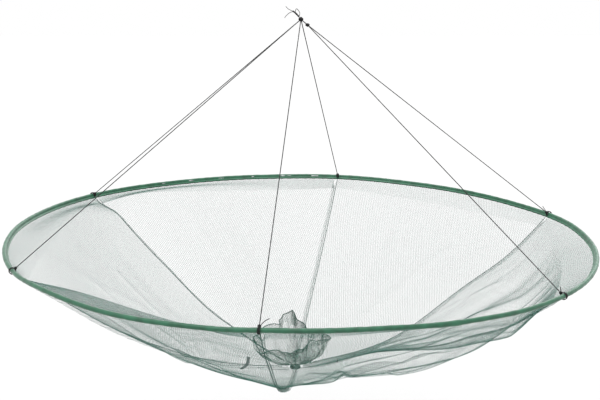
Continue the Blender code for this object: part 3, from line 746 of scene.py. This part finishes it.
def ties():
    """Cord wound three times round the casing under each bridle cord, and knotted on top."""
    turns, pitch = 3, 0.00125
    knot_at = math.atan2(HANG_HEIGHT, -HOOP_RADIUS)
    for seam in SEAMS:
        steps = np.linspace(0, 1, 30 * turns)
        angle = knot_at + 2 * math.pi * turns * steps
        round_hoop = seam[1] + np.degrees((steps - 0.5) * turns * pitch / HOOP_RADIUS)
        out = CASING_RADIUS + GAP + TIE_CORD_RADIUS
        path = on_hoop(round_hoop, out * np.cos(angle), out * np.sin(angle))
        top = on_hoop(seam[1], *tie_step(TIE_KNOT_RADIUS))
        lump = wound_path(top, TIE_KNOT_RADIUS, (1, 1, 1), 3, 0.8)
        parts = [laid_tube(line, TIE_CORD_RADIUS, 0.004, sides=6) for line in (path, lump)]
        ride(add_mesh("binding_" + seam[0], *joined(parts), black_cord), "cord_black", "tie_" + seam[0])


def cover_radius(azimuth):
    """Radius of the casing's cloth: fuller at the front than at the back, and puckered."""
    turn = np.radians(azimuth)
    pucker = sum(np.sin(rate * turn + shift) for rate, shift in ((61, 0.3), (97, 1.9), (149, 4.0), (211, 2.2)))
    lap = np.clip(np.minimum(azimuth - LAP_START, LAP_END - azimuth) / 0.4, 0, 1)
    return COVER_RADIUS - COVER_SWELL * np.sin(turn) + COVER_PUCKER * pucker + LAP_STEP * lap


def casing():
    """The strip of cloth round the hoop's wire, its two edges sewn together below and inside."""
    stations, turns = 900, 26
    azimuth = np.linspace(0, 360, stations + 1)[:, None]
    opening = math.radians(24)
    angle = np.linspace(FLANGE_ANGLE + opening, FLANGE_ANGLE + 2 * math.pi - opening, turns)[None, :]
    radius = cover_radius(azimuth)
    outward, up = radius * np.cos(angle), radius * np.sin(angle)
    along = np.array([math.cos(FLANGE_ANGLE), math.sin(FLANGE_ANGLE)])
    beside = np.array([-along[1], along[0]])
    flange = []
    for side in (1, -1):
        ply = []
        for reach in (0.0058, 0.0049, 0.0040):
            wave = 0.00012 * np.sin(np.radians(azimuth) * 190 + 900 * reach)
            step = along * reach + beside * side * 0.0009
            ply.append((step[0] + wave, step[1] + wave))
        flange.append(ply if side == 1 else ply[::-1])
    outward = np.concatenate([p[0] for p in flange[0]] + [outward] + [p[0] for p in flange[1]], axis=1)
    up = np.concatenate([p[1] for p in flange[0]] + [up] + [p[1] for p in flange[1]], axis=1)
    points = on_hoop(azimuth, outward, up)
    cover = ride(add_grid("casing_cover", points, casing_cloth), "casing_cloth", "hoop_casing")


def wire():
    """The hoop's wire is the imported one, in steel. It shows only where the casing is open."""
    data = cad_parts["spring_hoop"].data
    data.materials.clear()
    data.materials.append(spring_steel)


def casing_stitches():
    """A row of stitches through the casing's two edges, on the side that faces out and down."""
    along = np.array([math.cos(FLANGE_ANGLE), math.sin(FLANGE_ANGLE)])
    outward, up = along * STITCH_PLACE[0] + np.array([-along[1], along[0]]) * STITCH_PLACE[1]
    pitch = 360 / STITCHES
    tubes = []
    for number in range(STITCHES):
        azimuth = (number + np.linspace(0.0, 0.68, 3)) * pitch
        tubes.append(laid_tube(on_hoop(azimuth, outward, up), STITCH_RADIUS, 0.004, sides=5))
    ride(add_mesh("casing_stitches", *joined(tubes), seam_thread), "casing_cloth")


def add_grid(name, points, material, wrap=False):
    """A mesh from a grid of points, joined round its columns if wrap is set."""
    rows, columns = points.shape[:2]
    row = np.arange(rows - 1)[:, None] * columns
    column = np.arange(columns if wrap else columns - 1)[None, :]
    after = (column + 1) % columns
    quads = np.stack([row + column, row + after, row + columns + after, row + columns + column], axis=-1)
    return add_mesh(name, points.reshape(-1, 3), quads.reshape(-1, 4), material)


def pouch():
    """The bait bag: a gathered foot, a crumpled wall, and a hemmed mouth turned in on itself."""
    columns, rows = 240, 90
    azimuth = np.linspace(0, 360, columns + 1)[None, :]
    down = np.linspace(0, POUCH_TURNED, rows + 1)[:, None]  # past 1 the cloth is folded back inside the mouth
    height_share = np.interp(down, POUCH_DOWN, POUCH_HEIGHT)
    reach_share = np.interp(down, POUCH_DOWN, POUCH_REACH)
    mouth_reach = eased(azimuth, [(a, r) for a, r, _ in POUCH_MOUTH], period=360) / 1000
    mouth_height = eased(azimuth, [(a, h) for a, _, h in POUCH_MOUTH], period=360) / 1000
    turn = np.radians(azimuth)
    crumple = np.zeros_like(turn * down)
    for count, rise, shift, size in POUCH_PLEATS:
        crumple = crumple + size / 1000 * np.sin(count * turn + rise * down + shift)
    loose = np.sin(np.pi * np.minimum(down, 1.0) * 0.5)
    reach = POUCH_FOOT + (mouth_reach - POUCH_FOOT) * reach_share + crumple * loose
    height = mouth_height * height_share + 0.6 * crumple * loose * np.cos(3 * turn + 5 * down)
    foot = middle() + np.array([0, 0, GATHER_HALF + GAP + CLOTH])
    points = foot + np.stack(np.broadcast_arrays(reach * np.cos(turn), reach * np.sin(turn), height), axis=-1)
    threads = Threads()
    flaps = [np.zeros((rows + 1, 3))] * 2
    thread_surface(threads, points, flaps, 0.0, POUCH_SPACING, math.radians(40), THREAD_RADIUS)
    bag = ride(threads.build("pouch_net", pouch_thread), "net_mesh", "bait_pouch")
    hem = points[int(rows / POUCH_TURNED), :]
    tube = laid_tube(hem[:-1], HEM_RADIUS, 0.006, sides=6, lobes=2, depth=0.3)
    ride(add_mesh("pouch_hem", *tube, seam_thread), "net_mesh")


def gather():
    stretch = (1, 1, GATHER_HALF / GATHER_RADIUS)
    knot("gather_lump", middle(), GATHER_RADIUS, stretch, gather_thread, "net_mesh", "centre_gather",
         cord_radius=0.0007, turns=7, tilt=0.2)


def outside_panel(surface, across, down, step):
    """A point just outside a panel, stepped outward from it in mm."""
    row, column = int(down * GRID), int(across * GRID)
    normal = grid_normals(surface)[row, column]
    normal = normal if normal[2] < 0 else -normal
    return surface[row, column] + normal * step / 1000


def tape_and_thread_end(surfaces):
    """A bent strip of tape and a cut thread end, both hanging just outside the front.

    It is a piece on the front left panel.
    """
    top = outside_panel(surfaces[4], *TAPE_PLACE, TAPE_STANDOFF)
    path = smooth_route([top + np.array(step) / 1000 for step in TAPE_PATH], 8)
    across = np.array([TAPE_WIDTH / 2, 0.0, -TAPE_WIDTH / 6]) / 1000
    bow = np.array([0.0, -0.0005, 0.0])
    edges = [path - across, path - across / 2 + bow, path + across / 2 + bow, path + across]
    ride(add_grid("tape_strip", np.stack(edges, axis=1), tape_cloth), "net_mesh", "tape_tail")
    top = outside_panel(surfaces[5], *THREAD_PLACE, THREAD_STANDOFF)
    tube = laid_tube([top + np.array(step) / 1000 for step in THREAD_PATH], TIE_CORD_RADIUS, 0.004, sides=6)
    ride(add_mesh("cut_thread", *tube, black_cord), "cord_black", "thread_end")


def studio():
    floor_size, floor_height = 12.0, -0.75
    half = floor_size / 2
    corners = [(-half, -half, floor_height), (half, -half, floor_height), (half, half, floor_height),
               (-half, half, floor_height)]
    paint = new_material("floor_paint", 0.9, 0.0)[0]
    paint.node_tree.nodes["Principled BSDF"].inputs["Base Color"].default_value = (0.575, 0.575, 0.575, 1)
    floor = add_mesh("floor", corners, [(0, 1, 2, 3)], paint)

    world = bpy.data.worlds.new("studio_white")
    world.use_nodes = True
    world.node_tree.nodes["Background"].inputs["Color"].default_value = (1, 1, 1, 1)
    world.node_tree.nodes["Background"].inputs["Strength"].default_value = 1.0
    bpy.context.scene.world = world

    for name, energy, angle, turn in LAMPS:
        lamp = bpy.data.lights.new(name, "SUN")
        lamp.energy = energy
        lamp.angle = math.radians(angle)
        sun = bpy.data.objects.new(name, lamp)
        sun.rotation_euler = [math.radians(a) for a in turn]
        bpy.context.scene.collection.objects.link(sun)

    scene = bpy.context.scene
    scene.view_settings.view_transform = "Standard"
    scene.view_settings.look = "None"
    scene.cycles.transparent_max_bounces = 96


def camera():
    elevation, distance = math.radians(14.86), 1.98
    data = bpy.data.cameras.new("camera")
    data.lens = 86.4
    data.sensor_width = 36.0
    data.shift_x = -0.00155
    data.shift_y = 0.064
    thing = bpy.data.objects.new("camera", data)
    thing.location = (0, -distance * math.cos(elevation), -HANG_HEIGHT + distance * math.sin(elevation))
    thing.rotation_euler = (math.pi / 2 - elevation, 0, 0)
    bpy.context.scene.collection.objects.link(thing)
    bpy.context.scene.camera = thing


camera()
bridle_cords()
knots_and_tails()
ties()
wire()
casing()
casing_stitches()
built_panels = [panel_surface(number) for number in range(len(PANELS))]
panel_surfaces = [points for points, _ in built_panels]
tape_and_thread_end(panel_surfaces)
net_panels(built_panels)
seam_threads(panel_surfaces)
gather()
pouch()
studio()
